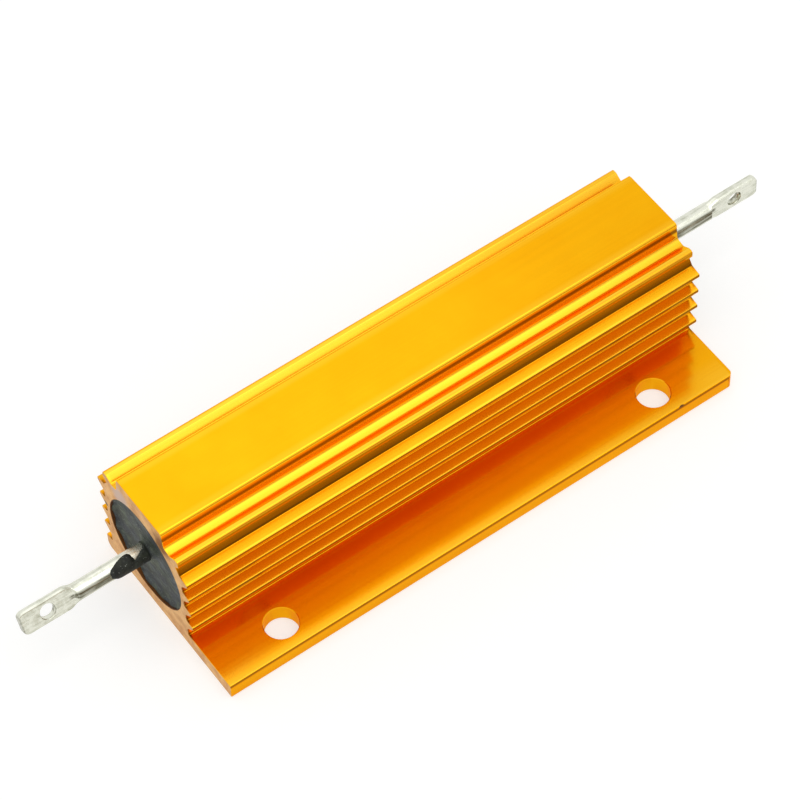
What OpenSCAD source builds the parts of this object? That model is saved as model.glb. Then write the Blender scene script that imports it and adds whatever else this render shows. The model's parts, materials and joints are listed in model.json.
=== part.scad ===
// Aluminium housed wirewound power resistor.
// The mounting face lies at z = 0 under the mid-plane of the body, the body runs
// along X, and its single mounting flange reaches out towards -Y.

/* [Housing] */
// Length of the sawn extrusion
housing_length = 90; // [76:1:130]
// Diameter of the bore that holds the wound element
bore_d = 18; // [15:0.1:19]
// Wall between the bore and the mounting face
floor_wall = 2.45; // [1.8:0.05:5]
// Wall between the bore and the flat top
top_wall = 3.35; // [3:0.05:6]
// Wall between the bore and the roots of the side ribs
side_wall = 0.9; // [0.6:0.05:2.5]
// Width across the flat top
top_width = 11.4; // [8:0.1:12.4]
// Radius along both edges of the flat top
top_edge_r = 0.9; // [0.3:0.05:1.2]
// Radius along the lower edge of the side that has no flange
base_edge_r = 1.1; // [0.3:0.05:1.4]

/* [Flange] */
// Thickness of the mounting flange
flange_thickness = 2.9; // [2:0.05:3.4]
// Distance from the mid-plane of the body to the edge of the flange
flange_reach = 20.5; // [19:0.1:30]
// Diameter of each mounting hole
hole_d = 5.2; // [3:0.1:6]
// Distance between the mounting holes
hole_span = 66.7; // [45:0.1:68]
// Distance from the edge of the flange to the centres of the holes
hole_edge = 4.4; // [3.4:0.1:4.6]
// Chamfer round the mouths of each mounting hole
hole_chamfer = 0.1; // [0.05:0.05:0.5]

/* [Ribs] */
// Number of ribs on each side
rib_count = 4; // [2:1:4]
// Distance from one rib to the next
rib_pitch = 3.73; // [3.3:0.01:3.8]
// Height of the lowest rib above the flange
first_rib = 3.65; // [3:0.05:3.9]
// Depth of the grooves between the ribs
rib_depth = 1.55; // [0.8:0.05:2.4]
// Thickness of each rib at its tip
rib_tip = 0.55; // [0.4:0.05:0.8]
// Rise of each rib's upper side from its tip to its root
rib_rise = 0.35; // [0.1:0.05:0.6]
// Drop of each rib's lower side from its tip to its root
rib_drop = 1.5; // [0.8:0.05:1.7]
// Radius along the edges of the ribs
rib_edge_r = 0.24; // [0.1:0.02:0.26]

/* [Shoulders] */
// Depth of the channel beside the flat top
channel_depth = 3.35; // [2.4:0.05:3.7]
// Outward slope of the channel's wall
channel_slope = 0.3; // [0:0.05:0.6]
// Width of the channel's floor
channel_floor = 1.4; // [0.8:0.05:1.6]
// Fall of the channel's floor from its wall to the shoulder
channel_fall = 0.35; // [0:0.05:0.6]
// Radius where the channel's wall meets its floor
channel_root_r = 0.6; // [0.2:0.05:0.7]
// Width of the shoulder rib outside the channel
shoulder_width = 2.2; // [1.8:0.05:2.6]
// Height of the shoulder rib above the channel's lowest line
shoulder_rise = 0.85; // [0.5:0.05:1.2]
// Thickness of the shoulder rib at its tip
shoulder_tip = 0.95; // [0.6:0.05:1.1]
// Depth of the groove under the shoulder rib
shoulder_groove = 0.85; // [0.4:0.05:1]
// Height of the sloping underside of the shoulder rib
shoulder_under = 0.8; // [0.4:0.05:1]

/* [Element] */
// Diameter of the ceramic core
core_d = 8.4; // [6:0.1:9]
// Distance from each sawn end of the housing to the ceramic core
core_inset = 12; // [10:0.5:22]
// Offset of the element along the housing, towards +X
element_shift = -0.5; // [-3:0.1:3]
// Height of the element's axis above the axis of the bore
element_rise = 1.25; // [0:0.05:2]
// Diameter of the resistance wire
wire_d = 0.7; // [0.4:0.05:0.9]
// Distance from one turn of the wire to the next
wire_pitch = 3; // [2:0.1:4]
// Gap between the wire and what it lies on
wire_gap = 0.02; // [0.01:0.01:0.05]
// Length of the wire's run on each end cap
wire_landing = 3; // [2:0.25:3.5]

/* [End caps] */
// Wall of each pressed end cap
cap_wall = 0.6; // [0.4:0.05:1]
// Length of each end cap over the core
cap_grip = 6; // [5:0.25:9]
// Radius round the closed end of each end cap
cap_edge_r = 0.5; // [0.2:0.05:0.8]

/* [Terminals] */
// Diameter of the round part of each terminal
pin_d = 2.8; // [2:0.05:3.6]
// Length of the round part outside the housing
pin_free = 11; // [7:0.25:18]
// Length of the flattened end
blade_length = 9.2; // [7.5:0.1:14]
// Width of the flattened end
blade_width = 3.9; // [3.8:0.05:5.2]
// Thickness of the flattened end
blade_thickness = 1.25; // [0.8:0.05:1.6]
// Radius at the corners of the flattened end
blade_corner_r = 0.9; // [0.4:0.05:1.8]
// Length over which the pin widens into the flattened end
blade_neck = 1.8; // [1:0.1:2.4]
// Length of the pressed slope from the pin down to the flat
press_slope = 0.7; // [0.3:0.05:1.2]
// Diameter of the eyelet through the flattened end
eyelet_d = 2.4; // [1.4:0.05:2.6]
// Distance from the tip of the terminal to the centre of the eyelet
eyelet_edge = 4.3; // [3:0.1:4.6]
// Angle by which the flattened end on the -X side leans back
lean_left = 25; // [-45:1:45]
// Angle by which the flattened end on the +X side leans back
lean_right = 2; // [-45:1:45]

/* [Cement] */
// Depth of the cement's face below each sawn end
cement_recess = 0.8; // [0.2:0.05:2]
// Width of the cement's collar round the root of each terminal
collar_width = 0.9; // [0.4:0.05:1.5]
// Height of that collar
collar_height = 0.6; // [0.2:0.05:0.8]
// Length of the cement that has run out along the left pin
smear_length = 6.3; // [1.5:0.1:7]
// Thickness of that run of cement
smear_thickness = 0.3; // [0.15:0.01:0.6]
// Turn of that run round the pin, from straight below towards the flange
smear_turn = 90; // [-180:1:180]

/* [Hidden] */
$fn = 64;
slack = 0.05;       // how far a cutting body runs past what it cuts
arc_steps = 4;      // straight pieces in each rounded edge of an outline
root_r = 0.25;      // radius in the roots of the grooves
wire_steps = 16;    // rings of the wire in each turn
wire_sides = 6;     // sides of the wire's section
wire_climb = 1;     // length over which the wire rises onto an end cap

bore_r = bore_d / 2;
bore_z = floor_wall + bore_r;
top_z = bore_z + bore_r + top_wall;
half_length = housing_length / 2;
hole_y = flange_reach - hole_edge;

root_y = bore_r + side_wall;                 // roots of the side ribs
tip_y = root_y + rib_depth;                  // tips of the side ribs
first_ledge = flange_thickness + first_rib;  // upper side of the lowest rib
last_ledge = first_ledge + (rib_count - 1) * rib_pitch;

channel_z = top_z - channel_depth;
channel_y = top_width / 2 + channel_slope;
floor_y = channel_y + channel_floor;
shoulder_y = floor_y + shoulder_width;
shoulder_z = channel_z + shoulder_rise;
shoulder_low = shoulder_z - shoulder_tip;    // lower side of the shoulder's tip
shoulder_root_y = shoulder_y - shoulder_groove;

core_length = housing_length - 2 * core_inset;
element_z = bore_z + element_rise;
wire_r = wire_d / 2;
core_r = core_d / 2;
cap_r = core_r + cap_wall;
cap_end = core_length / 2 + cap_wall;        // outer face of each end cap
cap_rim = core_length / 2 - cap_grip;        // open rim of each end cap
ring_scale = 1 / cos(180 / wire_steps);      // keeps straight steps off the core
coil_r = (core_r + wire_r + wire_gap) * ring_scale;
coil_cap_r = (cap_r + wire_r + wire_gap) * ring_scale;
coil_end = cap_rim + wire_landing;
cavity_r = coil_cap_r + wire_r + wire_gap;   // room that the wound element takes

pin_r = pin_d / 2;
blade_start = half_length + pin_free;
blade_end = blade_start + blade_length;
eyelet_x = blade_end - eyelet_edge;
cement_end = half_length - cement_recess;

// The arc that replaces corner p, [u, v, radius], between its neighbours a and b
function corner(a, p, b) =
    let (pp = [p[0], p[1]],
        u = ([a[0], a[1]] - pp) / norm([a[0], a[1]] - pp),
        v = ([b[0], b[1]] - pp) / norm([b[0], b[1]] - pp),
        half = acos(max(-1, min(1, u * v))) / 2,
        room = 0.49 * min(norm([a[0], a[1]] - pp), norm([b[0], b[1]] - pp)),
        run = min(p[2] / tan(half), room),
        centre = pp + (u + v) / norm(u + v) * run / cos(half),
        from = pp + u * run - centre,
        to = pp + v * run - centre,
        first = atan2(from[1], from[0]),
        sweep = atan2(from[0] * to[1] - from[1] * to[0], from * to))
    [for (i = [0:arc_steps])
        centre + norm(from) * [cos(first + sweep * i / arc_steps),
                               sin(first + sweep * i / arc_steps)]];

// An outline whose corners [u, v, radius] are rounded where the radius is above 0
function rounded(corners) =
    let (n = len(corners))
    [for (i = [0:n - 1])
        each corners[i][2] > 0
            ? corner(corners[(i + n - 1) % n], corners[i], corners[(i + 1) % n])
            : [[corners[i][0], corners[i][1]]]];

// One side of the extrusion's section from the flat top down to the last root
function ribbed_side() = concat(
    [[top_width / 2, top_z, top_edge_r],
     [channel_y, channel_z + channel_fall, channel_root_r],
     [floor_y, channel_z, 2 * root_r],
     [shoulder_y - shoulder_tip, shoulder_z, root_r],
     [shoulder_y, shoulder_z, shoulder_tip / 2],
     [shoulder_y, shoulder_low, shoulder_tip / 3],
     [shoulder_root_y, shoulder_low - shoulder_under, root_r],
     [root_y - root_r, last_ledge + rib_rise, root_r]],
    [for (i = [rib_count - 1:-1:0])
        let (ledge = first_ledge + i * rib_pitch,
            below = i > 0 ? ledge - rib_pitch + rib_rise : flange_thickness)
        each [[tip_y, ledge, rib_edge_r],
              [tip_y, ledge - rib_tip, rib_edge_r],
              [root_y, ledge - rib_tip - rib_drop, root_r],
              [root_y, below, root_r]]]);

// The other side: the same corners mirrored, in the opposite order
function mirrored(corners) =
    [for (i = [len(corners) - 1:-1:0]) [-corners[i][0], corners[i][1], corners[i][2]]];

module housing_section() {
    side = ribbed_side();
    base = [[tip_y, flange_thickness, rib_edge_r], [tip_y, 0, base_edge_r]];
    flange = [[-flange_reach, 0, root_r], [-flange_reach, flange_thickness, root_r]];
    polygon(rounded(concat(side, base, flange, mirrored(side))));
}

module mounting_hole() {
    cone_r = hole_d / 2 + hole_chamfer;
    translate([0, 0, -slack])
        cylinder(d = hole_d, h = flange_thickness + 2 * slack);
    translate([0, 0, flange_thickness - hole_chamfer])
        cylinder(r1 = hole_d / 2, r2 = cone_r + slack, h = hole_chamfer + slack);
    translate([0, 0, -slack])
        cylinder(r1 = cone_r + slack, r2 = hole_d / 2, h = hole_chamfer + slack);
}

// A cylinder along X from the given start
module rod(r, length, start) {
    translate([start, 0, 0])
        rotate([0, 90, 0])
            cylinder(r = r, h = length);
}

module housing() {
    color("orange")
        difference() {
            rotate([90, 0, 90])
                translate([0, 0, -half_length])
                    linear_extrude(housing_length)
                        housing_section();
            translate([0, 0, bore_z])
                rod(bore_r, housing_length + 2 * slack, -half_length - slack);
            for (side = [-1, 1])
                translate([side * hole_span / 2, -hole_y, 0])
                    mounting_hole();
        }
}

// Puts what is modelled about the X axis where the wound element lies
module on_element_axis() {
    translate([element_shift, 0, element_z])
        children();
}

module ceramic_core() {
    color("ivory")
        on_element_axis()
            rod(core_r, core_length, -core_length / 2);
}

// Distance of the wire's centre line from the axis at place x along the core
function coil_radius(x) =
    let (foot = cap_rim - wire_r - wire_gap - wire_climb,
        rise = max(0, min(1, (abs(x) - foot) / wire_climb)))
    coil_r + (coil_cap_r - coil_r) * rise * rise * (3 - 2 * rise);

module resistance_winding() {
    rings = round(2 * coil_end / wire_pitch * wire_steps);
    points = [for (i = [0:rings], k = [0:wire_sides - 1])
        let (x = -coil_end + 2 * coil_end * i / rings,
            turn = 360 * i / wire_steps,
            r = coil_radius(x) + wire_r * cos(360 * k / wire_sides))
        [x + wire_r * sin(360 * k / wire_sides), r * cos(turn), r * sin(turn)]];
    walls = [for (i = [0:rings - 1], k = [0:wire_sides - 1])
        let (a = i * wire_sides + k, b = i * wire_sides + (k + 1) % wire_sides)
        each [[a, a + wire_sides, b], [b, a + wire_sides, b + wire_sides]]];
    first_cap = [for (k = [wire_sides - 1:-1:0]) k];
    last_cap = [for (k = [0:wire_sides - 1]) rings * wire_sides + k];
    color("darkgray")
        on_element_axis()
            polyhedron(points, concat(walls, [reverse(first_cap), reverse(last_cap)]));
}

function reverse(list) = [for (i = [len(list) - 1:-1:0]) list[i]];

// A pressed cup that opens towards the middle of the core
module end_cap() {
    color("lightsteelblue")
        rotate([0, 90, 0])
            rotate_extrude()
                polygon(rounded([
                    [0, core_length / 2, 0], [core_r, core_length / 2, 0],
                    [core_r, cap_rim, 0], [cap_r, cap_rim, 0],
                    [cap_r, cap_end, cap_edge_r], [0, cap_end, 0]]));
}

module end_cap_left() {
    on_element_axis()
        mirror([1, 0, 0])
            end_cap();
}

module end_cap_right() {
    on_element_axis()
        end_cap();
}

// A round pin whose outer end is pressed flat, with an eyelet through the flat
module terminal(lean) {
    neck_end = blade_start + blade_neck;
    half_width = blade_width / 2;
    half_flat = blade_thickness / 2;
    color("silver")
        rotate([-lean, 0, 0])
            difference() {
                union() {
                    rod(pin_r, blade_start - cap_end, cap_end);
                    intersection() {
                        rod(pin_r, press_slope, blade_start);
                        linear_extrude(pin_d, center = true)
                            polygon([[blade_start, -pin_r],
                                [blade_start + press_slope, -half_flat],
                                [blade_start + press_slope, half_flat],
                                [blade_start, pin_r]]);
                    }
                    rotate([90, 0, 0])
                        linear_extrude(blade_thickness, center = true)
                            polygon(rounded([
                                [blade_start, -pin_r, blade_neck],
                                [neck_end, -half_width, blade_neck],
                                [blade_end, -half_width, blade_corner_r],
                                [blade_end, half_width, blade_corner_r],
                                [neck_end, half_width, blade_neck],
                                [blade_start, pin_r, blade_neck]]));
                }
                translate([eyelet_x, 0, 0])
                    rotate([90, 0, 0])
                        cylinder(d = eyelet_d, h = blade_width, center = true);
            }
}

module terminal_left() {
    on_element_axis()
        mirror([1, 0, 0])
            terminal(lean_left);
}

module terminal_right() {
    on_element_axis()
        terminal(lean_right);
}

// Cement that has run out along one side of a pin, cut off at a slant
module cement_smear() {
    outer_r = pin_r + smear_thickness;
    run = smear_length + cement_recess;
    rotate([-smear_turn, 0, 0])
        difference() {
            rod(outer_r, run, -run);
            translate([-run, 0, -outer_r])
                rotate([0, -atan2(2 * outer_r, run), 0])
                    translate([-run, -2 * outer_r, 0])
                        cube([3 * run, 4 * outer_r, 3 * outer_r]);
        }
}

module cement_filling() {
    color("dimgray")
        difference() {
            union() {
                translate([0, 0, bore_z])
                    rod(bore_r, 2 * cement_end, -cement_end);
                for (side = [-1, 1])
                    translate([side * cement_end, 0, element_z])
                        rotate([0, side * 90, 0])
                            cylinder(r1 = pin_r + collar_width, r2 = pin_r,
                                h = collar_height);
                translate([-cement_end, 0, element_z])
                    cement_smear();
            }
            on_element_axis() {
                rod(cavity_r, 2 * cap_end, -cap_end);
                rod(pin_r, 2 * blade_start, -blade_start);
            }
        }
}

housing();
ceramic_core();
resistance_winding();
end_cap_left();
end_cap_right();
terminal_left();
terminal_right();
cement_filling();
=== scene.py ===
import json
from math import acos, atan2, cos, degrees, hypot, pi, radians, sin, tan

import bmesh
import bpy
from mathutils import Matrix, Vector, noise
from mathutils.geometry import tessellate_polygon


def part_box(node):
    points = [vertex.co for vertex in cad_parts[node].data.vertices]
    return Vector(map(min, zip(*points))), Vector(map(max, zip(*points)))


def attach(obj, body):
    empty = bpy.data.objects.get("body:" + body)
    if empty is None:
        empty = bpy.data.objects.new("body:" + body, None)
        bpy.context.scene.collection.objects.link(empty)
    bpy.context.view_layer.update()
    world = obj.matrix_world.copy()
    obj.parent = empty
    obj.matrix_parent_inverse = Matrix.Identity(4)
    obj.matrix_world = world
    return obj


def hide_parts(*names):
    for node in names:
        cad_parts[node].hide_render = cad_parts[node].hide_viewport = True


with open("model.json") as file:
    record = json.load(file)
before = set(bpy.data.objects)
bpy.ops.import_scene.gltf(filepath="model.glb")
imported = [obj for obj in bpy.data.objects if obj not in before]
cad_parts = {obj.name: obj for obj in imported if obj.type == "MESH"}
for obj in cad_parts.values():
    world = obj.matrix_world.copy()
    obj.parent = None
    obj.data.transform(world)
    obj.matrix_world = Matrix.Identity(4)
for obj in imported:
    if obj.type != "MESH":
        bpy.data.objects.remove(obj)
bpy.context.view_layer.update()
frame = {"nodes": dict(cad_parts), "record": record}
mm = 0.001
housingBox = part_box("housing")


def toLinear(hexCode):
    # sRGB hex to the linear colour that the shaders take
    out = []
    for i in (1, 3, 5):
        c = int(hexCode[i:i + 2], 16) / 255
        out.append(c / 12.92 if c <= 0.04045 else ((c + 0.055) / 1.055) ** 2.4)
    return (*out, 1.0)


def addNode(tree, kind, settings=None, **links):
    # settings: the node's own values, and stops = the (place, colour) list of a ramp
    # links: a socket's name (spaces as _) or in and its number = a value, or (node, output)
    node = tree.nodes.new(kind)
    for name, value in (settings or {}).items():
        if name != "stops":
            setattr(node, name, value)
            continue
        elements = node.color_ramp.elements
        while len(elements) > 1:
            elements.remove(elements[-1])
        for i, (place, colour) in enumerate(value):
            element = elements[0] if i == 0 else elements.new(place)
            element.position = place
            element.color = colour if len(colour) == 4 else (*colour, 1)
    for name, value in links.items():
        numbered = name.startswith("in") and name[2:].isdigit()
        socket = node.inputs[int(name[2:]) if numbered else name.replace("_", " ")]
        if isinstance(value, tuple) and isinstance(value[0], bpy.types.Node):
            tree.links.new(value[0].outputs[value[1]], socket)
        else:
            socket.default_value = value
    return node


def newMaterial(name):
    material = bpy.data.materials.new(name)
    material.use_nodes = True
    material.node_tree.nodes.clear()
    return material, material.node_tree


def smooth(t):
    t = max(0.0, min(1.0, t))
    return t * t * (3 - 2 * t)


def lookUp(table, x):
    # straight-line reading of a list of (place, value)
    if x <= table[0][0]:
        return table[0][1]
    for (a, u), (b, v) in zip(table, table[1:]):
        if x <= b:
            return u + (v - u) * (x - a) / (b - a)
    return table[-1][1]


def addObject(name, data):
    obj = bpy.data.objects.new(name, data)
    bpy.context.scene.collection.objects.link(obj)
    return obj


def makeObject(name, points, faces, materials, faceMaterials=None, attributes=None):
    # points in millimetres, in the shared frame
    mesh = bpy.data.meshes.new(name)
    mesh.from_pydata([Vector(p) * mm for p in points], [], faces)
    for material in materials:
        mesh.materials.append(material)
    if faceMaterials:
        mesh.polygons.foreach_set("material_index", faceMaterials)
    for key, values in (attributes or {}).items():
        mesh.attributes.new(key, "FLOAT", "POINT").data.foreach_set("value", values)
    mesh.update()
    return addObject(name, mesh)


def tubeFaces(rings, sides):
    # the faces between rings of points one after another, and a flat one at each end
    faces = [[i * sides + k, i * sides + (k + 1) % sides,
              (i + 1) * sides + (k + 1) % sides, (i + 1) * sides + k]
             for i in range(rings - 1) for k in range(sides)]
    faces.append(list(range(sides))[::-1])
    faces.append([(rings - 1) * sides + k for k in range(sides)])
    return faces


def cutAway(obj, cutters):
    # takes the cutters out of obj for good, and deletes them
    for cutter in cutters:
        modifier = obj.modifiers.new("cut", "BOOLEAN")
        modifier.operation = "DIFFERENCE"
        modifier.solver = "EXACT"
        modifier.object = cutter
    graph = bpy.context.evaluated_depsgraph_get()
    cut = bpy.data.meshes.new_from_object(obj.evaluated_get(graph))
    obj.modifiers.clear()
    obj.data = cut
    for cutter in cutters:
        bpy.data.objects.remove(cutter)


def shadeBody(obj, sharpAbove):
    # flats stay flat and rounded edges run smoothly into them
    mesh = obj.data
    mesh.polygons.foreach_set("use_smooth", [True] * len(mesh.polygons))
    mesh.set_sharp_from_angle(angle=radians(sharpAbove))
    modifier = obj.modifiers.new("flatFaces", "WEIGHTED_NORMAL")
    modifier.keep_sharp = True
    modifier.weight = 80


def fixNormals(obj):
    mesh = bmesh.new()
    mesh.from_mesh(obj.data)
    bmesh.ops.recalc_face_normals(mesh, faces=mesh.faces)
    mesh.to_mesh(obj.data)
    mesh.free()


def lathe(name, profile, place, turn, sides=64):
    # profile: (radius, height) from bottom to top, closed with flat ends
    points = [(r * cos(2 * pi * k / sides), r * sin(2 * pi * k / sides), h)
              for r, h in profile for k in range(sides)]
    move = Matrix.Translation(Vector(place)) @ turn
    return makeObject(name, [move @ Vector(p) for p in points],
                      tubeFaces(len(profile), sides), [])


anodised = {
    "colour": "#F2AA02",       # gold dye under the clear oxide
    "paler": "#F5B106",        # where the dye has taken a little less
    "wornAndHighlit": "#FBCA3A",         # along the edges of the ribs and in the channel: partly wear, partly painted highlight
    "edgeTint": "#FFC94A",     # what a glancing view turns towards
    "roughness": 0.17,
    "dieLine": 0.35,           # mm between the die's lines: the real ones are too fine to show
    "dieLineLength": 60,       # mm along the extrusion
    "cloud": 9,                # mm, size of the uneven dye
    # what the painted shade keeps of the colour in the grooves, and along the dark lines where it
    # is strongest
    "groove": (0.86, 0.66, 0.4),
    "line": (0.28, 0.23, 0.2),
}


def goldAnodisedAluminium():
    # extruded, bright dipped, dyed gold and sealed: the metal glows orange where it
    # mirrors itself, under fine lines that run along the extrusion; painted shade makes it brown
    # in the grooves, thin dark lines along the tips of the ribs are painted reflections, and
    # lighter gold on the edges and in the channel is partly wear, partly painted highlight
    material, tree = newMaterial("goldAnodisedExtrudedAluminium")
    place = addNode(tree, "ShaderNodeTexCoord")
    along = addNode(tree, "ShaderNodeMapping", Vector=(place, "Object"),
                    Scale=(anodised["dieLine"] / anodised["dieLineLength"], 1, 1))
    lines = addNode(tree, "ShaderNodeTexNoise", Vector=(along, "Vector"),
                    Scale=1 / (anodised["dieLine"] * mm), Detail=3.0, Roughness=0.6)
    cloud = addNode(tree, "ShaderNodeTexNoise", Vector=(place, "Object"),
                    Scale=1 / (anodised["cloud"] * mm), Detail=3.0, Roughness=0.55)
    dyeShare = addNode(tree, "ShaderNodeValToRGB",
                       {"stops": [(0.35, (0, 0, 0)), (0.75, (1, 1, 1))]}, Fac=(cloud, "Fac"))
    dyeAndShade = addNode(tree, "ShaderNodeMix", {"data_type": "RGBA"}, Factor=(dyeShare, "Color"),
                  in6=toLinear(anodised["colour"]), in7=toLinear(anodised["paler"]))
    # lighter gold: wear along the edges, and painted highlight on the tips, the top's edges and in
    # the channel
    wear = addNode(tree, "ShaderNodeAttribute", {"attribute_name": "wear"})
    patchy = addNode(tree, "ShaderNodeMath", {"operation": "MULTIPLY"},
                     in0=(wear, "Fac"), in1=(lines, "Fac"))
    coat = addNode(tree, "ShaderNodeMix", {"data_type": "RGBA"}, Factor=(patchy, "Value"),
                   in6=(dyeAndShade, 2), in7=toLinear(anodised["wornAndHighlit"]))
    # painted shade: brown in the grooves, and dark lines along the tips of the ribs that stand in
    # for dark reflections
    deep = addNode(tree, "ShaderNodeAttribute", {"attribute_name": "deep"})
    uneven = addNode(tree, "ShaderNodeMapRange", Value=(lines, "Fac"), From_Min=0.3, From_Max=0.7,
                     To_Min=0.8, To_Max=1.15)
    shadeStrength = addNode(tree, "ShaderNodeMath", {"operation": "MULTIPLY", "use_clamp": True},
                    in0=(deep, "Fac"), in1=(uneven, "Result"))
    kept = addNode(tree, "ShaderNodeValToRGB",
                   {"stops": [(0.0, (1, 1, 1)), (0.5, anodised["groove"]),
                              (1.0, anodised["line"])]},
                   Fac=(shadeStrength, "Value"))
    paintedShading = addNode(tree, "ShaderNodeMix", {"data_type": "RGBA", "blend_type": "MULTIPLY"},
                   Factor=1.0, in6=(coat, 2), in7=(kept, "Color"))
    rough = addNode(tree, "ShaderNodeMapRange", Value=(lines, "Fac"), From_Min=0.3, From_Max=0.7,
                    To_Min=anodised["roughness"] - 0.03, To_Max=anodised["roughness"] + 0.05)
    bump = addNode(tree, "ShaderNodeBump", Height=(lines, "Fac"), Strength=0.12,
                   Distance=0.02 * mm)
    shader = addNode(tree, "ShaderNodeBsdfPrincipled", Base_Color=(paintedShading, 2), Metallic=1.0,
                     Roughness=(rough, "Result"), Normal=(bump, "Normal"),
                     Specular_Tint=toLinear(anodised["edgeTint"]), Coat_Weight=0.06,
                     Coat_Roughness=0.12, Coat_IOR=1.6)
    addNode(tree, "ShaderNodeOutputMaterial", Surface=(shader, 0))
    return material


sawn = {
    "colour": "#F5C27A",       # cut after the extrusion was dyed, then sealed pale
    "darker": "#CC8C44",
    "kerf": 0.3,               # mm between the marks of the saw's teeth
    "kerfShare": 0.12,         # how much they show in the colour
    "grain": 0.5,              # mm
    "blotch": 2.5,             # mm
    "bladeCentre": (60, -70),  # mm, where the round saw turned, across the end
    # marks on the left end: Y and Z in mm, radius in mm, colour, strength; the four small dark ones
    # at Y -9.87 are painted shade in the roots of the grooves
    "marks": [((-5.6, 20.9), 2.8, "#9A5E22", 0.95), ((5.2, 19.9), 3.0, "#CDB5AC", 0.8),
              ((9.9, 12.6), 0.7, "#3A2412", 0.8), ((-9.87, 15.1), 0.3, "#3A1A08", 0.8),
              ((-9.87, 11.2), 0.3, "#3A1A08", 0.8), ((-9.87, 7.45), 0.3, "#3A1A08", 0.8),
              ((-9.9, 3.95), 0.3, "#3A1A08", 0.8)],
}


def sawnAluminium():
    # the ends keep the marks of the round saw: a matt tan face with faint arcs, with
    # brown and dark patches beside the bore and painted shade in the roots of the grooves
    material, tree = newMaterial("sawnAluminiumEnd")
    place = addNode(tree, "ShaderNodeTexCoord")
    centre = addNode(tree, "ShaderNodeVectorMath", {"operation": "SUBTRACT"},
                     in0=(place, "Object"),
                     in1=(0, sawn["bladeCentre"][0] * mm, sawn["bladeCentre"][1] * mm))
    flat = addNode(tree, "ShaderNodeVectorMath", {"operation": "MULTIPLY"},
                   in0=(centre, "Vector"), in1=(0, 1, 1))
    arcs = addNode(tree, "ShaderNodeTexWave", {"wave_type": "RINGS", "rings_direction": "X"},
                   Vector=(flat, "Vector"), Scale=2 * pi / 20 / (sawn["kerf"] * mm),
                   Distortion=1.2, Detail=2.0, Detail_Scale=1.5)
    grain = addNode(tree, "ShaderNodeTexNoise", Vector=(place, "Object"),
                    Scale=1 / (sawn["grain"] * mm), Detail=4.0, Roughness=0.65)
    blotch = addNode(tree, "ShaderNodeTexNoise", Vector=(place, "Object"),
                     Scale=1 / (sawn["blotch"] * mm), Detail=4.0, Roughness=0.65)
    tone = addNode(tree, "ShaderNodeMath", {"operation": "MULTIPLY_ADD"}, in0=(arcs, "Fac"),
                   in1=sawn["kerfShare"], in2=(blotch, "Fac"))
    share = addNode(tree, "ShaderNodeValToRGB",
                    {"stops": [(0.42, (0, 0, 0)), (0.75, (1, 1, 1))]}, Fac=(tone, "Value"))
    colour = addNode(tree, "ShaderNodeMix", {"data_type": "RGBA"}, Factor=(share, "Color"),
                     in6=toLinear(sawn["colour"]), in7=toLinear(sawn["darker"]))
    ragged = addNode(tree, "ShaderNodeMapRange", Value=(grain, "Fac"), From_Min=0.3,
                     From_Max=0.7, To_Min=0.75, To_Max=1.3)
    for (y, z), radius, tint, strength in sawn["marks"]:
        away = addNode(tree, "ShaderNodeVectorMath", {"operation": "DISTANCE"},
                       in0=(place, "Object"), in1=(housingBox[0].x, y * mm, z * mm))
        uneven = addNode(tree, "ShaderNodeMath", {"operation": "MULTIPLY"},
                         in0=(away, "Value"), in1=(ragged, "Result"))
        mark = addNode(tree, "ShaderNodeMapRange", {"interpolation_type": "SMOOTHSTEP"},
                       Value=(uneven, "Value"), From_Min=0.35 * radius * mm,
                       From_Max=radius * mm, To_Min=strength, To_Max=0.0)
        colour = addNode(tree, "ShaderNodeMix", {"data_type": "RGBA"}, Factor=(mark, "Result"),
                         in6=(colour, 2), in7=toLinear(tint))
    height = addNode(tree, "ShaderNodeMath", {"operation": "ADD"}, in0=(arcs, "Fac"),
                     in1=(grain, "Fac"))
    bump = addNode(tree, "ShaderNodeBump", Height=(height, "Value"), Strength=0.35,
                   Distance=0.03 * mm)
    shader = addNode(tree, "ShaderNodeBsdfPrincipled", Base_Color=(colour, 2), Metallic=0.6,
                     Roughness=0.5, Normal=(bump, "Normal"))
    addNode(tree, "ShaderNodeOutputMaterial", Surface=(shader, 0))
    return material


tinned = {
    "colour": "#E2E3D5",
    "dull": "#BEC0AE",
    "under": (0.24, 0.23, 0.19),   # what the painted dark reflection on the pins keeps of the colour
    "streak": 0.35,            # mm between the lines of the drawn wire, coarser to show
    "streakLength": 4.375,     # mm
    "patch": 1.1,              # mm, size of the duller patches
}


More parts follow.
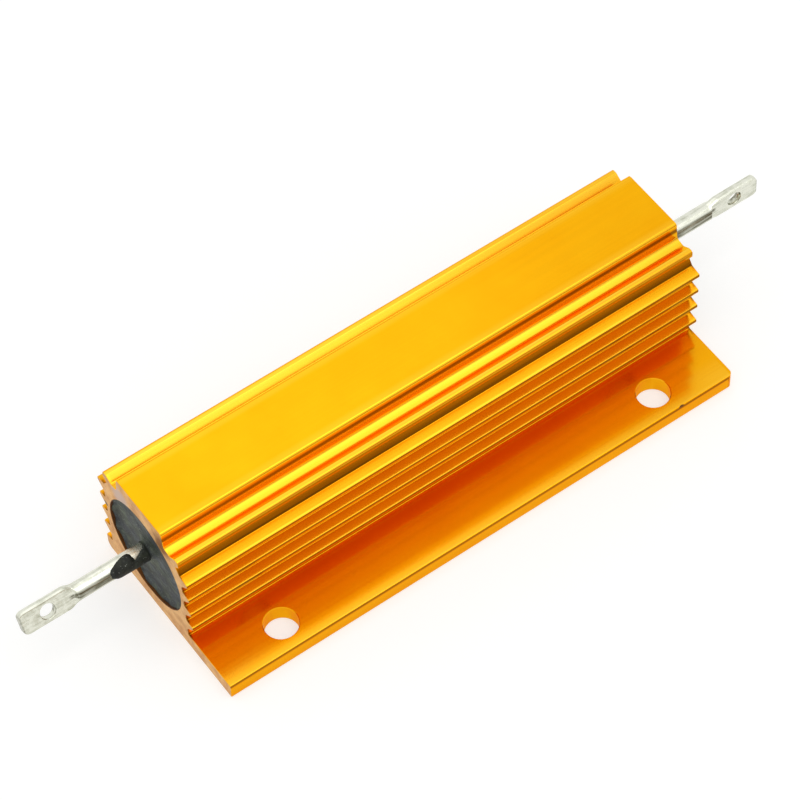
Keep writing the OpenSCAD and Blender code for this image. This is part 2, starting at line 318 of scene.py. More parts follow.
def tinnedSteelWire():
    # drawn wire with a dipped tin coat: pale, slightly green grey, satin, with streaks
    # along it, duller patches and a painted dark reflection along the side of each pin and on each
    # tip's end
    material, tree = newMaterial("dipTinnedWire")
    place = addNode(tree, "ShaderNodeTexCoord")
    along = addNode(tree, "ShaderNodeMapping", Vector=(place, "Object"),
                    Scale=(tinned["streak"] / tinned["streakLength"], 1, 1))
    streaks = addNode(tree, "ShaderNodeTexNoise", Vector=(along, "Vector"),
                      Scale=1 / (tinned["streak"] * mm), Detail=4.0, Roughness=0.6)
    patches = addNode(tree, "ShaderNodeTexNoise", Vector=(place, "Object"),
                      Scale=1 / (tinned["patch"] * mm), Detail=4.0, Roughness=0.65)
    scuffed = addNode(tree, "ShaderNodeMath", {"operation": "MULTIPLY"}, in0=(patches, "Fac"),
                      in1=(streaks, "Fac"))
    share = addNode(tree, "ShaderNodeValToRGB",
                    {"stops": [(0.2, (0, 0, 0)), (0.42, (1, 1, 1))]}, Fac=(scuffed, "Value"))
    colour = addNode(tree, "ShaderNodeMix", {"data_type": "RGBA"}, Factor=(share, "Color"),
                     in6=toLinear(tinned["colour"]), in7=toLinear(tinned["dull"]))
    # painted dark reflection along the side of each pin and on each tip's end, broken up by the
    # streaks
    bloom = addNode(tree, "ShaderNodeAttribute", {"attribute_name": "bloom"})
    broken = addNode(tree, "ShaderNodeMapRange", Value=(streaks, "Fac"), From_Min=0.35,
                     From_Max=0.65, To_Min=0.45, To_Max=1.3)
    paintedDark = addNode(tree, "ShaderNodeMath", {"operation": "MULTIPLY", "use_clamp": True},
                    in0=(bloom, "Fac"), in1=(broken, "Result"))
    under = addNode(tree, "ShaderNodeMix", {"data_type": "RGBA", "blend_type": "MULTIPLY"},
                    Factor=(paintedDark, "Value"), in6=(colour, 2), in7=(*tinned["under"], 1))
    rough = addNode(tree, "ShaderNodeMapRange", Value=(patches, "Fac"), From_Min=0.3,
                    From_Max=0.7, To_Min=0.17, To_Max=0.33)
    height = addNode(tree, "ShaderNodeMath", {"operation": "ADD"}, in0=(streaks, "Fac"),
                     in1=(patches, "Fac"))
    bump = addNode(tree, "ShaderNodeBump", Height=(height, "Value"), Strength=0.4,
                   Distance=0.03 * mm)
    shader = addNode(tree, "ShaderNodeBsdfPrincipled", Base_Color=(under, 2), Metallic=1.0,
                     Roughness=(rough, "Result"), Normal=(bump, "Normal"))
    addNode(tree, "ShaderNodeOutputMaterial", Surface=(shader, 0))
    return material


cement = {
    "colour": "#4A4D4B",
    "light": "#85887F",
    "dark": "#20221F",
    "run": "#8C8E78",          # what the run on the pin keeps of the colour
    "casts": ("#E4F0D6", "#D9E3F0"),
    "castSize": 2.8,           # mm
    "dust": "#B4B7B0",
    "sweep": 26,               # degrees, which way the paste was wiped across the end
    "grit": 0.35,              # mm, coarser than ground silica so that it shows
    "lump": 1.6,               # mm
}


def siliconeCement():
    # a poured cement of ground silica in resin: matt dark grey, mottled, with pale
    # specks of dust and a faint green and blue cast
    material, tree = newMaterial("castSiliconeCement")
    place = addNode(tree, "ShaderNodeTexCoord")
    wiped = addNode(tree, "ShaderNodeMapping", Vector=(place, "Object"),
                    Rotation=(radians(-cement["sweep"]), 0, 0), Scale=(1, 0.45, 1))
    lumps = addNode(tree, "ShaderNodeTexNoise", Vector=(wiped, "Vector"),
                    Scale=1 / (cement["lump"] * mm), Detail=6.0, Roughness=0.72)
    grit = addNode(tree, "ShaderNodeTexNoise", Vector=(place, "Object"),
                   Scale=1 / (cement["grit"] * mm), Detail=3.0, Roughness=0.7)
    tint = addNode(tree, "ShaderNodeTexNoise", Vector=(place, "Object"),
                   Scale=1 / (cement["castSize"] * mm), Detail=2.0)
    tone = addNode(tree, "ShaderNodeValToRGB",
                   {"stops": [(0.3, toLinear(cement["dark"])), (0.5, toLinear(cement["colour"])),
                              (0.72, toLinear(cement["light"]))]}, Fac=(lumps, "Fac"))
    cast = addNode(tree, "ShaderNodeValToRGB",
                   {"stops": [(0.42, toLinear(cement["casts"][0])),
                              (0.58, toLinear(cement["casts"][1]))]},
                   Fac=(tint, "Fac"))
    mixed = addNode(tree, "ShaderNodeMix", {"data_type": "RGBA", "blend_type": "MULTIPLY"},
                    Factor=1.0, in6=(tone, "Color"), in7=(cast, "Color"))
    onPin = addNode(tree, "ShaderNodeAttribute", {"attribute_name": "run"})
    darker = addNode(tree, "ShaderNodeMix", {"data_type": "RGBA", "blend_type": "MULTIPLY"},
                     Factor=(onPin, "Fac"), in6=(mixed, 2), in7=toLinear(cement["run"]))
    specks = addNode(tree, "ShaderNodeValToRGB",
                     {"stops": [(0.64, (0, 0, 0)), (0.71, (0.7, 0.7, 0.7))]}, Fac=(grit, "Fac"))
    colour = addNode(tree, "ShaderNodeMix", {"data_type": "RGBA"}, Factor=(specks, "Color"),
                     in6=(darker, 2), in7=toLinear(cement["dust"]))
    height = addNode(tree, "ShaderNodeMath", {"operation": "ADD"}, in0=(grit, "Fac"),
                     in1=(lumps, "Fac"))
    bump = addNode(tree, "ShaderNodeBump", Height=(height, "Value"), Strength=0.6,
                   Distance=0.12 * mm)
    shader = addNode(tree, "ShaderNodeBsdfPrincipled", Base_Color=(colour, 2), Roughness=0.62,
                     Normal=(bump, "Normal"), Specular_IOR_Level=0.4)
    addNode(tree, "ShaderNodeOutputMaterial", Surface=(shader, 0))
    return material


def plainBuried(name, colour, metallic, roughness, grain):
    # the parts that lie sealed in the cement: colour with a fine grain of its own
    material, tree = newMaterial(name)
    place = addNode(tree, "ShaderNodeTexCoord")
    fine = addNode(tree, "ShaderNodeTexNoise", Vector=(place, "Object"), Scale=1 / (grain * mm),
                   Detail=4.0, Roughness=0.6)
    tone = addNode(tree, "ShaderNodeValToRGB",
                   {"stops": [(0.3, [c * 0.8 for c in toLinear(colour)[:3]]),
                              (0.7, toLinear(colour))]},
                   Fac=(fine, "Fac"))
    bump = addNode(tree, "ShaderNodeBump", Height=(fine, "Fac"), Strength=0.2,
                   Distance=0.05 * mm)
    shader = addNode(tree, "ShaderNodeBsdfPrincipled", Base_Color=(tone, "Color"),
                     Metallic=metallic, Roughness=roughness, Normal=(bump, "Normal"))
    addNode(tree, "ShaderNodeOutputMaterial", Surface=(shader, 0))
    return material


gold = goldAnodisedAluminium()
sawnEnd = sawnAluminium()
# the bore's wall, seen inside the sawn ends, and the faces of the nick take a dark brown that is
# painted shade
shadedBore = plainBuried("boreWallPaintedShade", "#7A4A1C", 0.6, 0.5, 0.4)
tin = tinnedSteelWire()
potting = siliconeCement()
print("materials made")

low, high = housingBox
housing = {                    # mm; the ends, the flange and the height come from the frame
    "left": low.x / mm,
    "right": high.x / mm,
    "flangeEdge": low.y / mm,
    "ribTip": high.y / mm,
    "top": high.z / mm,
    "flangeThickness": 2.9,
    "topHalf": 5.7,
    "topEdge": 0.9,
    "topWearAndHighlight": 1.5,            # how far the wear and painted highlight of the edge reach over the flat top
    "boreRadius": 9,
    "boreHeight": 11.45,
    "boreSides": 96,
    "ribRoot": 9.9,
    "ribPitch": 3.73,
    "ribs": 4,
    "firstLedge": 6.55,
    "ribThickness": 0.55,
    "ribRise": 0.35,
    "ribDrop": 1.5,
    "ribEdge": 0.24,
    "ribFacets": ((0.40, 0.08), (0.34, 0.065), (0, -0.02)),    # how far in, how far over the ledge
    "ribLine": 1.5,            # painted shade of the dark line along each tip, which stands in for a dark reflection
    "channelDepth": 3.35,
    "channelSlope": 0.3,
    "channelFloor": 1.4,
    "channelFall": 0.35,       # fall of the channel's floor towards the shoulder
    "channelRoot": 0.6,        # radius where the channel's wall meets its floor
    "shoulderWidth": 2.2,
    "shoulderRise": 0.85,
    "shoulderTip": 0.95,
    "shoulderDeep": 1.2,       # height of the shoulder's outer side
    "tipRadius": 0.475,        # the shoulder's upper corner
    "lowRadius": 0.32,         # and its lower one
    "shoulderGroove": 0.85,
    "shoulderUnder": 0.65,
    "root": 0.25,              # radius of all other corners
    "baseEdge": 1.1,
    "sawnEdge": 0.07,          # the edge that deburring leaves at both ends
    # how strong the painted shade is, from 0 to 1 and over, with distances in mm
    # down the channel's wall: how far out, how far down, wear and painted highlight, painted shade
    "wallShade": ((0.10, 1.0, 0, 0.9), (0.15, 1.45, 0, 1.3), (0.19, 1.85, 2, 0.3)),
    "valleyShade": 0.3,          # painted shade between the ribs
    "flangeShade": ((4.5, 0.12), (0.1, 0.38)),    # how far out from the ribs, painted shade
    "edgeShade": (0.8, 0.1, 1.2),    # start below the flange's top, painted shade there, painted shade of the edge's line
    "pocket": 0.55,            # how far painted shade reaches into the grooves' bottoms from the sawn ends
    # how dark the painted shade in the grooves' bottoms is
    "pocketShade": 1.1,
    "pocketWidth": 0.35,       # to each side of the grooves' bottom
    "pocketBelowTop": 5,       # only the grooves that lie lower than this
    "arcStep": 9,              # degrees
}


def roundCorner(before, here, after, stepAngle):
    # the arc that replaces a corner (y, z, radius); radius 0 is a plain point
    p = Vector(here[:2])
    if here[2] == 0:
        return [p]
    u = (Vector(before[:2]) - p)
    v = (Vector(after[:2]) - p)
    room = 0.49 * min(u.length, v.length)
    u.normalize()
    v.normalize()
    half = acos(max(-1, min(1, u.dot(v)))) / 2
    run = min(here[2] / tan(half), room)
    centre = p + (u + v).normalized() * run / cos(half)
    start = p + u * run - centre
    end = p + v * run - centre
    first = atan2(start.y, start.x)
    sweep = atan2(start.x * end.y - start.y * end.x, start.dot(end))
    steps = max(3, round(abs(degrees(sweep)) / stepAngle))
    return [centre + start.length * Vector((cos(first + sweep * i / steps),
                                            sin(first + sweep * i / steps)))
            for i in range(steps + 1)]


def housingCorners():
    h = housing
    floorZ = h["top"] - h["channelDepth"]
    channelY = h["topHalf"] + h["channelSlope"]
    floorY = channelY + h["channelFloor"]
    tipY = floorY + h["shoulderWidth"]
    tipZ = floorZ + h["shoulderRise"]
    lowZ = tipZ - h["shoulderDeep"]
    lastLedge = h["firstLedge"] + (h["ribs"] - 1) * h["ribPitch"]
    valley = h["valleyShade"]
    upper = h["flangeThickness"]
    # (y, z, radius, wear and painted highlight, painted shade at the start of the corner, at its
    # end)
    side = [(h["topHalf"] - h["topWearAndHighlight"], h["top"], 0, 0, 0, 0),
            (h["topHalf"], h["top"], h["topEdge"], 0.6, 0, 0.1)]
    side += [(h["topHalf"] + out, h["top"] - down, 0, wear, dyeAndShade, dyeAndShade)
             for out, down, wear, dyeAndShade in h["wallShade"]]
    side += [(channelY, floorZ + h["channelFall"], h["channelRoot"], 1.2, 0.4, 0),
             (floorY, floorZ, 2 * h["root"], 0.8, 0.14, 0.14),
             (tipY - h["shoulderTip"], tipZ, h["root"], 1.6, 0.12, 0.06),
             (tipY, tipZ, h["tipRadius"], 1, 0, 0.8),
             (tipY, lowZ, h["lowRadius"], 1.0, 0.5, 0),
             (tipY - h["shoulderGroove"], lowZ - h["shoulderUnder"], h["root"], 0, 0, 0.45),
             (h["ribRoot"] - h["root"], lastLedge + h["ribRise"], h["root"], 0, 1.0, 0.25)]
    (in1, up1), (in2, up2), (in3, up3) = h["ribFacets"]
    for i in range(h["ribs"] - 1, -1, -1):
        ledge = h["firstLedge"] + i * h["ribPitch"]
        under = ledge - h["ribThickness"]
        below = ledge - h["ribPitch"] + h["ribRise"] if i else upper
        near = 0 if i == h["ribs"] - 1 else valley
        side += [(h["ribTip"] - in1, ledge + up1, 0, 0.4, near, near),
                 (h["ribTip"] - in2, ledge + up2, 0, 1, 0.25, 0.25),
                 (h["ribTip"] - in3, ledge + up3, h["ribEdge"], 1, 0.15, h["ribLine"]),
                 (h["ribTip"], under, h["ribEdge"], 0.7, 0.6, 0.1),
                 (h["ribRoot"], under - h["ribDrop"], h["root"], 0, valley, valley),
                 (h["ribRoot"], below, h["root"], 0, 0.6, valley)]
    base = [(h["ribTip"], upper, h["ribEdge"], 0.5, valley, 0.1),
            (h["ribTip"], 0, h["baseEdge"], 0.5, 0, 0)]
    start, plain, line = h["edgeShade"]
    flange = [(h["flangeEdge"], 0, h["root"], 0.5, 0, 0.3),
              (h["flangeEdge"], upper - start, 0, 0.5, plain, plain),
              (h["flangeEdge"], upper, h["root"], 1, line, plain)]
    flange += [(-h["ribTip"] - out, upper, 0, 0, dyeAndShade, dyeAndShade) for out, dyeAndShade in h["flangeShade"]]
    return side + base + flange + [(-y, z, r, w, f, e) for y, z, r, w, e, f in reversed(side)]


def housingOutline():
    # points (y, z) round the section, how much wear and painted highlight each has and how strong
    # its painted shade
    corners = housingCorners()
    outline, wear, deep = [], [], []
    for i, corner in enumerate(corners):
        arc = roundCorner(corners[i - 1], corner, corners[(i + 1) % len(corners)],
                          housing["arcStep"])
        outline += arc
        wear += [corner[3]] * len(arc)
        deep += [corner[4] + (corner[5] - corner[4]) * k / max(1, len(arc) - 1)
                 for k in range(len(arc))]
    return outline, wear, deep


def pushIn(outline, amount):
    # the outline moved inwards by the same amount everywhere
    n = len(outline)
    area = sum(outline[i - 1].x * outline[i].y - outline[i].x * outline[i - 1].y
               for i in range(n))
    side = 1 if area > 0 else -1
    moved = []
    for i in range(n):
        a = (outline[i] - outline[i - 1]).normalized()
        b = (outline[(i + 1) % n] - outline[i]).normalized()
        inward = Vector((-(a.y + b.y), a.x + b.x)).normalized() * side
        slant = inward.dot(Vector((-a.y, a.x)) * side)
        moved.append(outline[i] + inward * amount / max(0.5, slant))
    return moved


def buildHousing():
    h = housing
    outline, wear, deep = housingOutline()
    n = len(outline)
    edge = h["sawnEdge"]
    inner = pushIn(outline, edge)
    sides = h["boreSides"]
    ring = [Vector((cos(2 * pi * k / sides), sin(2 * pi * k / sides))) for k in range(sides)]
    middle = Vector((0, h["boreHeight"]))
    bore = [middle + p * h["boreRadius"] for p in ring]
    mouth = [middle + p * (h["boreRadius"] + edge) for p in ring]
    left, right = h["left"], h["right"]
    points, faces, materials, wornAndHighlit, paintedShading = [], [], [], [], []

    def addRing(x, loop, wearAndHighlightHere, shadeHere):
        start = len(points)
        points.extend((x, p.x, p.y) for p in loop)
        wornAndHighlit.extend(wearAndHighlightHere)
        paintedShading.extend(shadeHere)
        return start

    def addWall(a, b, count, material):
        for k in range(count):
            m = (k + 1) % count
            faces.append([a + k, a + m, b + m, b + k])
            materials.append(material)

    plain = [0.0] * sides
    # painted shade in the bottoms of the grooves next to the sawn ends
    pocket = [h["pocketShade"] if abs(abs(p.x) - h["ribRoot"]) < h["pocketWidth"] and
              h["flangeThickness"] < p.y < h["top"] - h["pocketBelowTop"] else d
              for p, d in zip(outline, deep)]
    outer = [addRing(x, loop, wear, dyeAndShade) for x, loop, dyeAndShade in
             ((left, inner, pocket), (left + edge, outline, pocket),
              (left + h["pocket"], outline, deep), (right - h["pocket"], outline, deep),
              (right - edge, outline, pocket), (right, inner, pocket))]
    inside = [addRing(x, loop, plain, plain) for x, loop in
              ((left, mouth), (left + edge, bore), (right - edge, bore), (right, mouth))]
    for a, b in zip(outer, outer[1:]):
        addWall(a, b, n, 0)
    for a, b in zip(inside, inside[1:]):
        addWall(b, a, sides, 2)
    triangles = tessellate_polygon([[Vector((p.x, p.y, 0)) for p in inner],
                                    [Vector((p.x, p.y, 0)) for p in mouth]])
    for o, b, flip in ((outer[0], inside[0], False), (outer[-1], inside[-1], True)):
        for t in triangles:
            t = [o + k if k < n else b + k - n for k in t]
            faces.append(t[::-1] if flip else t)
            materials.append(1)
    body = makeObject("housingBody", points, faces, [gold, sawnEnd, shadedBore], materials,
                      {"wear": wornAndHighlit, "deep": paintedShading})
    fixNormals(body)
    return body


holes = {                      # mm; the span and the place come from the record
    "radius": 2.6,
    "chamfer": 0.1,
    "overshoot": 0.3,          # how far the drill's shape runs on past the flange
    "span": frame["record"]["mounts"][1]["dims"]["spacing_x_mm"],
    "y": frame["record"]["mounts"][1]["pos_m"][1] / mm,
}

blemishes = {                  # mm
    "cornerRadius": 1.0,       # the flange's right corner was knocked round in handling
    "nick": (35.3, -20.55, 2.95),
    "nickRadius": 0.27,
    "nickStretch": 2.2,        # how much longer than wide
}


def knockEdges(body):
    # takes off the flange's corner and one small bite out of its upper edge
    r, x, y = blemishes["cornerRadius"], housing["right"], housing["flangeEdge"]
    arc = [(x - r * (1 - sin(a)), y + r * (1 - cos(a)))
           for a in (radians(90 * k / 8) for k in range(9))]
    plan = [(x - r, y - 1)] + arc + [(x + 1, y + r), (x + 1, y - 1)]
    points = [(px, py, pz) for pz in (-1, housing["flangeThickness"] + 1) for px, py in plan]
    corner = makeObject("corner", points, tubeFaces(2, len(plan)), [])
    fixNormals(corner)
    b = blemishes["nickRadius"]
    profile = [(b * sin(radians(a)) + 0.001, -b * cos(radians(a))) for a in range(0, 181, 20)]
    stretch = Matrix.Diagonal((blemishes["nickStretch"], 1, 1, 1))
    bite = lathe("bite", profile, blemishes["nick"], stretch, 16)
    # the nick's faces take the bore's dark brown, painted shade inside the nick
    for material in body.data.materials:
        bite.data.materials.append(material)
    bite.data.polygons.foreach_set("material_index", [2] * len(bite.data.polygons))
    cutAway(body, [corner, bite])


def drillHoles(body):
    r, c, t = holes["radius"], holes["chamfer"], housing["flangeThickness"]
    out = holes["overshoot"]
    profile = [(r + c + out, -out), (r, c), (r, t - c), (r + c + out, t + out)]
    cutters = [lathe("drill", profile, (side * holes["span"] / 2, holes["y"], 0),
                     Matrix.Identity(4), 96) for side in (-1, 1)]
    cutAway(body, cutters)


def shadeCuts(body):
    # the cuts' new edges take the painted shade of the flange round them
    h = housing
    upper = h["flangeThickness"]
    start, plain, line = h["edgeShade"]
    downEdge = [(0, 0), (upper - start, plain), (upper - h["root"], line), (upper, plain)]
    overTop = [(h["flangeEdge"], 0)] + [(-h["ribTip"] - out, dyeAndShade) for out, dyeAndShade in h["flangeShade"]]
    corner = blemishes["cornerRadius"]
    reach = holes["radius"] + holes["chamfer"] + holes["overshoot"]
    mesh = body.data
    deep = mesh.attributes["deep"].data
    for i, vertex in enumerate(mesh.vertices):
        p = vertex.co / mm
        if p.x > blemishes["nick"][0] - corner and p.y < h["flangeEdge"] + corner + 0.05:
            deep[i].value = lookUp(downEdge, p.z)
        if min(hypot(p.x - side * holes["span"] / 2, p.y - holes["y"]) for side in (-1, 1)) < reach:
            deep[i].value = lookUp(overTop, p.y)


body = buildHousing()
drillHoles(body)
knockEdges(body)
shadeCuts(body)
shadeBody(body, 24)
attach(body, "root")
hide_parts("housing")
print("housing made:", len(body.data.polygons), "faces")

terminals = {                  # mm
    "pinRadius": 1.4,
    "height": 12.7,
    "length": 9.2,             # of the pressed end, its neck included
    "halfWidth": 1.95,
    "halfThickness": 0.625,
    "neck": 1.8,
    "pressSlope": 0.7,
    "firstPress": 0.12,        # share of the press that the neck starts with
    "lip": 0.05,               # roundness between the flats and the edges
    "pressSteps": 28,
    "tipSteps": 8,
    "tipThinner": 0.12,
    "cornerRadius": 0.9,
    "eyeletRadius": 1.2,
    "eyeletFromTip": 4.3,
    "leanLeft": 25,            # degrees
    "leanRight": 2,
    "darkReflectionFrom": 36,           # degrees round the pin, from the top towards the flange, where the band of painted dark reflection lies
    "darkReflectionTo": 84,
    # how dark the painted reflection is on the tip's end
    "tipDarkReflection": 0.6,
    "sides": 96,
}


def pressedRing(halfWidth, halfThickness):
    # the round wire, widened, with its two sides pressed flat and its edges left round
    t = terminals
    lip = t["lip"]
    ring = []
    for k in range(t["sides"]):
        a = 2 * pi * (k + 0.5) / t["sides"]
        y = t["pinRadius"] * cos(a)
        over = max(0.0, abs(y) - halfThickness + lip)
        if over > 0:
            y = (halfThickness - lip + lip * (1 - 1 / (1 + over / lip))) * (1 if y > 0 else -1)
        ring.append((y, halfWidth * sin(a)))
    return ring


def buildTerminal(name, node, side, lean):
    t = terminals
    pinR = t["pinRadius"]
    lowest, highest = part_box(node)
    tip = (highest.x if side > 0 else -lowest.x) / mm
    inner = (lowest.x if side > 0 else -highest.x) / mm
    start = tip - t["length"]
    # place along the pin, half the width and half the thickness, from the round wire on
    sections = [(inner, pinR, 2 * pinR), (start - 0.3, pinR, 2 * pinR),
                (start - 0.1, pinR, pinR + 0.08)]
    for i in range(t["pressSteps"] + 1):
        x = (t["neck"] + 0.2) * i / t["pressSteps"]
        press = smooth(t["firstPress"] + (1 - t["firstPress"]) * x / t["pressSlope"])
        widen = smooth(x / t["neck"])
        sections.append((start + x, pinR + (t["halfWidth"] - pinR) * widen,
                         pinR + t["lip"] + (t["halfThickness"] - pinR - t["lip"]) * press))
    for i in range(t["tipSteps"] + 1):
        # the rounded corners of the tip
        a = radians(90) * i / t["tipSteps"]
        sections.append((tip - t["cornerRadius"] * (1 - sin(a)),
                         t["halfWidth"] - t["cornerRadius"] * (1 - cos(a)),
                         t["halfThickness"] - t["tipThinner"] * smooth((i - 5) / 3)))
    turn = radians(-lean)
    points, bloom = [], []
    for x, width, thickness in sections:
        for y, z in pressedRing(width, thickness):
            y, z = y * cos(turn) - z * sin(turn), y * sin(turn) + z * cos(turn)
            points.append((side * x, y, t["height"] + z))
            # a band of painted dark reflection round the side of the round part of the pin, and on
            # the tip's end
            around = degrees(atan2(-y, z))
            onRound = 1 - smooth((x - start - 0.8) / 0.8)
            band = (onRound * smooth((around - t["darkReflectionFrom"]) / 14)
                    * (1 - smooth((around - t["darkReflectionTo"]) / 16)))
            bloom.append(max(band, t["tipDarkReflection"] * smooth((x - tip + 0.3) / 0.2)))
    obj = makeObject(name, points, tubeFaces(len(sections), t["sides"]), [tin], None,
                     {"bloom": bloom})
    fixNormals(obj)
    r, h = t["eyeletRadius"], t["halfThickness"]
    punch = [(r + 0.25, -h - 0.1), (r + 0.06, -h + 0.03), (r, -h + 0.16), (r, h - 0.16),
             (r + 0.06, h - 0.03), (r + 0.25, h + 0.1)]
    across = Matrix.Rotation(turn, 4, "X") @ Matrix.Rotation(radians(90), 4, "X")
    eyelet = (side * (tip - t["eyeletFromTip"]), 0, t["height"])
    cutAway(obj, [lathe("punch", punch, eyelet, across, 48)])
    shadeBody(obj, 32)
    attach(obj, "root")
    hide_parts(node)


buildTerminal("terminalLeft", "terminal_left", -1, terminals["leanLeft"])
buildTerminal("terminalRight", "terminal_right", 1, terminals["leanRight"])
print("terminals made")

plug = {                       # mm
    "recess": 0.8,
    "meniscus": 0.58,          # how far the cement climbs the wall of the bore
    "meniscusWidth": 0.9,
    "collar": 0.6,
    "collarWidth": 1.0,
    "lumps": 0.1,
    "lumpsPerMm": 0.45,
    "ripplesPerMm": 1.6,
    "sides": 160,
    "rings": 36,
    # how far the run reaches along the left pin, against the angle round the pin in
    # degrees, from the side of the flange upwards
    "reach": [(-180, 0.8), (-130, 1.2), (-100, 3.0), (-70, 4.2), (-45, 5.2), (-20, 6.3),
              (8, 7.0), (41, 7.2), (61, 6.9), (78, 6.0), (93, 5.0), (99, 4.1), (104, 1.1),
              (180, 0.8)],
    # the bare notch in it, near the root of the pin: where it starts and where it ends
    "notchStart": [(36, 3.2), (39, 2.95), (60, 2.15), (76, 1.35), (104, 1.0)],
    "notchEnd": [(36, 2.8), (39, 2.95), (67, 3.13), (94, 3.4), (104, 4.1)],
    "runThickness": 0.3,
    "runRings": 30,
    "runStart": 0.6,
    "leftRun": 7.6,            # how far the skin goes on along each pin, bare or not
    "rightRun": 1.4,
    "rightReach": 0.9,
}


def runThickness(distance, angle, reach):
    # thickness of the cement on the pin: below zero where the pin is bare
    p = plug
    room = lookUp(reach, angle) - distance
    lowAngle, highAngle = p["notchStart"][0][0], p["notchStart"][-1][0]
    if reach is p["reach"] and lowAngle < angle < highAngle:
        start, end = lookUp(p["notchStart"], angle), lookUp(p["notchEnd"], angle)
        room = min(room, -min(distance - start, end - distance))
        if distance > start:
            room = min(room, (highAngle - angle) * 0.03)
    return p["runThickness"] * smooth(room / 0.45 + 0.2) - 0.05


def cementEnd(side, reach, longest):
    # rings of points from the wall of the bore in to the pin, and on along the pin
    p = plug
    angles = [2 * pi * k / p["sides"] for k in range(p["sides"])]
    pinR, pinZ = terminals["pinRadius"], terminals["height"]
    boreR, boreZ = housing["boreRadius"], housing["boreHeight"]
    face = (housing["right"] if side > 0 else -housing["left"]) - p["recess"]
    coarse, fine = p["lumpsPerMm"], p["ripplesPerMm"]
    rings = []
    for i in range(p["rings"] + 1):
        t = i / p["rings"]
        radius = boreR + (pinR - boreR) * t
        height = boreZ + (pinZ - boreZ) * t
        fromWall = max(0.0, boreR - radius)
        fromPin = max(0.0, radius - pinR)
        climb = (1 - smooth(fromWall / p["meniscusWidth"])) ** 2
        heap = (1 - smooth(fromPin / p["collarWidth"])) ** 1.5
        ring = []
        for a in angles:
            y, z = -radius * cos(a), height + radius * sin(a)
            lump = noise.noise(Vector((y * coarse, z * coarse, side * 9)))
            ripple = noise.noise(Vector((y * fine, z * fine, side * 5)))
            rise = (p["meniscus"] * (0.7 + 0.6 * lump) * climb
                    + p["collar"] * (0.9 + 0.4 * lump) * heap)
            uneven = p["lumps"] * (lump + 0.5 * ripple) * smooth(fromWall / 0.5)
            ring.append((side * (face + rise + uneven), y, z))
        rings.append(ring)
    for i in range(1, p["runRings"] + 1):
        distance = p["runStart"] + (longest - p["runStart"]) * i / p["runRings"]
        ring = []
        for a in angles:
            angle = degrees(a) if a <= pi else degrees(a) - 360
            lump = noise.noise(Vector((distance * 0.9, cos(a) * 1.3, sin(a) * 1.3)))
            thick = runThickness(distance + 0.25 * lump, angle, reach)
            radius = pinR + thick * (1 + 0.25 * lump)
            ring.append((side * (face + distance), -radius * cos(a), pinZ + radius * sin(a)))
        rings.append(ring)
    return rings


def buildCement():
    p = plug
    evenReach = [(-180, p["rightReach"]), (180, p["rightReach"])]
    loops = cementEnd(-1, p["reach"], p["leftRun"])[::-1] + cementEnd(1, evenReach, p["rightRun"])
    points = [point for ring in loops for point in ring]
    pinR, pinZ = terminals["pinRadius"], terminals["height"]
    onPin = [abs(hypot(y, z - pinZ) - pinR) < 0.6 and abs(x) > housing["right"]
             for x, y, z in points]
    obj = makeObject("cementFilling", points, tubeFaces(len(loops), p["sides"]), [potting], None,
                     {"run": [float(flag) for flag in onPin]})
    fixNormals(obj)
    obj.data.polygons.foreach_set("use_smooth", [True] * len(obj.data.polygons))
    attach(obj, "root")
    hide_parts("cement_filling")


buildCement()
print("cement made")

# the sealed parts keep their own solids
buried = {
    "ceramic_core": plainBuried("pressedSteatite", "#DDD8C6", 0.0, 0.7, 0.3),
    "resistance_winding": plainBuried("drawnResistanceWire", "#8C8880", 1.0, 0.4, 0.2),
    "end_cap_left": plainBuried("nickelPlatedSteelCap", "#B9B8B2", 1.0, 0.3, 0.4),
}
buried["end_cap_right"] = buried["end_cap_left"]
for node, material in buried.items():
    mesh = frame["nodes"][node].data
    mesh.materials.clear()
    mesh.materials.append(material)
print("sealed parts finished")

stage = {
    "floorSize": 6000,         # mm
    "floorDrop": 0.05,         # mm below the part, so that the two don't flicker
    "floorColour": "#C4C4C2",
    "floorGlow": 0.55,
    "world": 0.6,
}
softboxes = {                  # m: corner to corner in X and Y, height, and glow over the world's
    "overheadPanel": {"x": (-0.55, 0.34), "y": (0.12, 0.85), "height": 0.8, "radiance": 0.40},
    "keyPanel": {"x": (-0.45, 0.37), "y": (-0.60, 0.05), "height": 0.8, "radiance": 1.2},
}
brownCard = {                  # mm: low in front of the flange, seen only in the metal's gloss
    "x": (-250, 550),
    "y": -500,
    "z": (12, 170),
    "glow": (0.50, 0.38, 0.25),
}


def onlyShown(tree):
    # 1 where the camera sees it, straight or in a gloss or through a glass, and else 0
    rays = addNode(tree, "ShaderNodeLightPath")
    seen = addNode(tree, "ShaderNodeMath", {"operation": "MAXIMUM"},
                   in0=(rays, "Is Camera Ray"), in1=(rays, "Is Glossy Ray"))
    return addNode(tree, "ShaderNodeMath", {"operation": "MAXIMUM"},
                   in0=(seen, "Value"), in1=(rays, "Is Transmission Ray"))


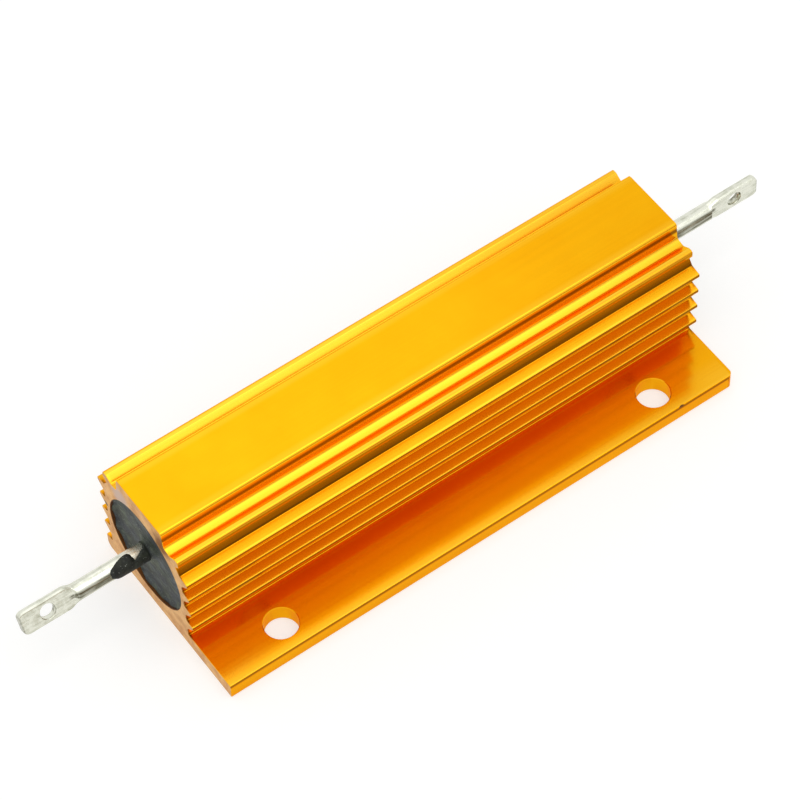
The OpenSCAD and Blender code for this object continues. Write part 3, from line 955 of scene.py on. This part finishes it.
def buildFloor():
    material, tree = newMaterial("whitePaperSweep")
    glow = addNode(tree, "ShaderNodeMath", {"operation": "MULTIPLY"},
                   in0=(onlyShown(tree), "Value"), in1=stage["floorGlow"])
    place = addNode(tree, "ShaderNodeTexCoord")
    tooth = addNode(tree, "ShaderNodeTexNoise", Vector=(place, "Object"), Scale=1 / (1.5 * mm),
                    Detail=3.0)
    bump = addNode(tree, "ShaderNodeBump", Height=(tooth, "Fac"), Strength=0.05,
                   Distance=0.05 * mm)
    shader = addNode(tree, "ShaderNodeBsdfPrincipled",
                     Base_Color=toLinear(stage["floorColour"]), Roughness=0.9,
                     Normal=(bump, "Normal"), Emission_Color=(1, 1, 1, 1),
                     Emission_Strength=(glow, "Value"))
    addNode(tree, "ShaderNodeOutputMaterial", Surface=(shader, 0))
    half, z = stage["floorSize"] / 2, -stage["floorDrop"]
    floor = makeObject("floor", [(-half, -half, z), (half, -half, z), (half, half, z),
                                 (-half, half, z)], [[0, 1, 2, 3]], [material])


def buildLights():
    world = bpy.data.worlds.new("studio")
    bpy.context.scene.world = world
    world.use_nodes = True
    tree = world.node_tree
    tree.nodes.clear()
    strength = addNode(tree, "ShaderNodeMapRange", Value=(onlyShown(tree), "Value"),
                       To_Min=stage["world"], To_Max=1.0)
    sky = addNode(tree, "ShaderNodeBackground", Color=(1, 1, 1, 1),
                  Strength=(strength, "Result"))
    addNode(tree, "ShaderNodeOutputWorld", Surface=(sky, 0))
    for name, box in softboxes.items():
        light = bpy.data.lights.new(name, "AREA")
        light.shape = "RECTANGLE"
        light.size = box["x"][1] - box["x"][0]
        light.size_y = box["y"][1] - box["y"][0]
        light.energy = box["radiance"] * pi * light.size * light.size_y
        lamp = addObject(name, light)
        lamp.location = (sum(box["x"]) / 2, sum(box["y"]) / 2, box["height"])


def buildCard():
    # its brown mirrors in the steep sides of the ribs and the shoulder
    material, tree = newMaterial("brownCard")
    shader = addNode(tree, "ShaderNodeEmission", Color=(*brownCard["glow"], 1), Strength=1.0)
    addNode(tree, "ShaderNodeOutputMaterial", Surface=(shader, 0))
    (x0, x1), y, (z0, z1) = brownCard["x"], brownCard["y"], brownCard["z"]
    card = makeObject("brownCard", [(x0, y, z0), (x1, y, z0), (x1, y, z1), (x0, y, z1)],
                      [[0, 1, 2, 3]], [material])
    card.visible_camera = False
    card.visible_diffuse = False
    card.visible_shadow = False
    card.visible_transmission = False


buildFloor()
buildLights()
buildCard()
print("stage made")

shot = {
    "azimuth": -33.46,         # degrees, from straight in front of the flange
    "elevation": 55.25,
    "roll": -2.593,
    "distance": 529.9,         # mm from the aim to the camera
    "aim": (2.31, 4.73, 3.62),
    "lens": 161.66,
}


def placeCamera():
    az, el = radians(shot["azimuth"]), radians(shot["elevation"])
    back = Vector((sin(az) * cos(el), -cos(az) * cos(el), sin(el)))
    right = Vector((cos(az), sin(az), 0))
    up = back.cross(right)
    roll = radians(shot["roll"])
    right, up = right * cos(roll) + up * sin(roll), up * cos(roll) - right * sin(roll)
    place = (Vector(shot["aim"]) + back * shot["distance"]) * mm
    data = bpy.data.cameras.new("camera")
    data.sensor_width = 36
    data.lens = shot["lens"]
    data.clip_start, data.clip_end = 0.01, 20
    camera = addObject("camera", data)
    turn = Matrix((right, up, back)).transposed().to_4x4()
    camera.matrix_world = Matrix.Translation(place) @ turn
    bpy.context.scene.camera = camera


placeCamera()
bpy.context.scene.view_settings.view_transform = "Standard"
